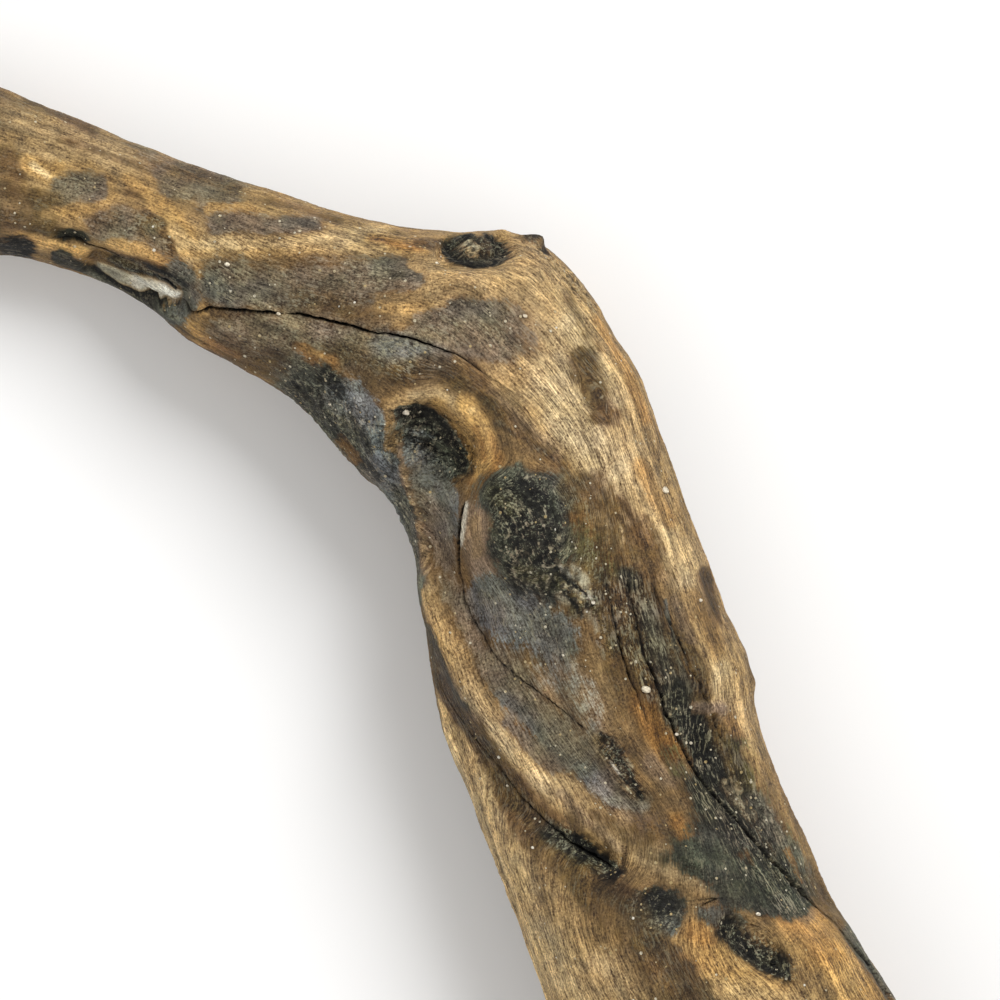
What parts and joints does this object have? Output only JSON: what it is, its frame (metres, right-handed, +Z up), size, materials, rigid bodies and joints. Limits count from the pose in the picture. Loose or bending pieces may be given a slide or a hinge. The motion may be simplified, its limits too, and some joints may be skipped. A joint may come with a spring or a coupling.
{
  "type": "piece of driftwood",
  "caption": "Crooked, water-worn driftwood limb with an elbow, knots, hollows and long splits, lying on three worn flats.",
  "frame": {"origin": "on the ground, under the middle of the outline seen from above", "axes": "+Z up, away from the ground; -X towards the thin end, -Y towards the thick torn butt, +Y at the elbow's outer side"},
  "size_m": [0.2618, 0.259, 0.0619],
  "materials": {
    "driftwood_wood": "weathered, matt bare wood: blond ridges, grey-brown hollows, nearly black pits and splits"
  },
  "bodies": {
    "root": {"driftwood": "driftwood_wood"}
  },
  "joints": []
}
